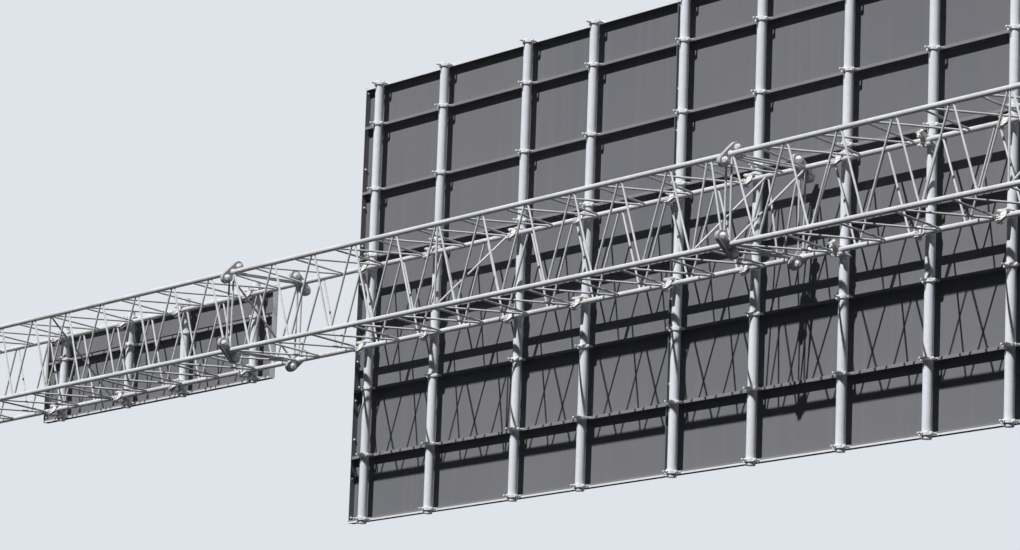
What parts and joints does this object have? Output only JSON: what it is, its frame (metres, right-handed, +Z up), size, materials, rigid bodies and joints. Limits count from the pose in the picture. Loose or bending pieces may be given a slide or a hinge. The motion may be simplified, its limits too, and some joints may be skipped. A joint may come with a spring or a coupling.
{
  "type": "overhead road sign on a lattice beam",
  "caption": "Overhead road sign: bare sheet signs on upright tubes, clamped behind a square welded lattice beam of bolted sections.",
  "frame": {"origin": "centre of the front bottom chord on the outer face of the beam's left end plate", "axes": "+X along the beam to its right end, +Y from the beam to the signs, +Z up"},
  "size_m": [16.32, 0.7561, 3.025],
  "materials": {
    "galvanised_lattice": "hot-dip galvanised, dull satin",
    "galvanised_plate": "hot-dip galvanised, dull satin",
    "galvanised_post": "hot-dip galvanised tube, satin",
    "galvanised_strap": "galvanised, satin",
    "sign_sheet": "mill-finish sheet, weathered, matt",
    "sign_rail": "mill-finish extrusion, matt"
  },
  "bodies": {
    "root": {"left_section_front_side": "galvanised_lattice", "left_section_back_side": "galvanised_lattice", "left_section_top_lacing": "galvanised_lattice", "left_section_bottom_lacing": "galvanised_lattice", "left_section_cross_bracing": "galvanised_lattice", "left_section_end_plates": "galvanised_plate", "middle_section_front_side": "galvanised_lattice", "middle_section_back_side": "galvanised_lattice", "middle_section_top_lacing": "galvanised_lattice", "middle_section_bottom_lacing": "galvanised_lattice", "middle_section_cross_bracing": "galvanised_lattice", "middle_section_end_plates": "galvanised_plate", "right_section_front_side": "galvanised_lattice", "right_section_back_side": "galvanised_lattice", "right_section_top_lacing": "galvanised_lattice", "right_section_bottom_lacing": "galvanised_lattice", "right_section_cross_bracing": "galvanised_lattice", "right_section_end_plates": "galvanised_plate", "big_sign_left_sheet": "sign_sheet", "big_sign_left_rails": "sign_rail", "big_sign_left_straps": "galvanised_strap", "big_sign_right_sheet": "sign_sheet", "big_sign_right_rails": "sign_rail", "big_sign_right_straps": "galvanised_strap", "big_sign_post_1": "galvanised_post", "big_sign_post_2": "galvanised_post", "big_sign_post_3": "galvanised_post", "big_sign_post_4": "galvanised_post", "big_sign_post_5": "galvanised_post", "big_sign_post_6": "galvanised_post", "big_sign_post_7": "galvanised_post", "big_sign_post_8": "galvanised_post", "big_sign_post_9": "galvanised_post", "big_sign_top_couplers": "galvanised_plate", "small_sign_top_couplers": "galvanised_plate", "big_sign_bottom_couplers": "galvanised_plate", "small_sign_bottom_couplers": "galvanised_plate", "small_sign_sheet": "sign_sheet", "small_sign_rails": "sign_rail", "small_sign_straps": "galvanised_strap", "small_sign_posts": "galvanised_post"}
  },
  "joints": []
}
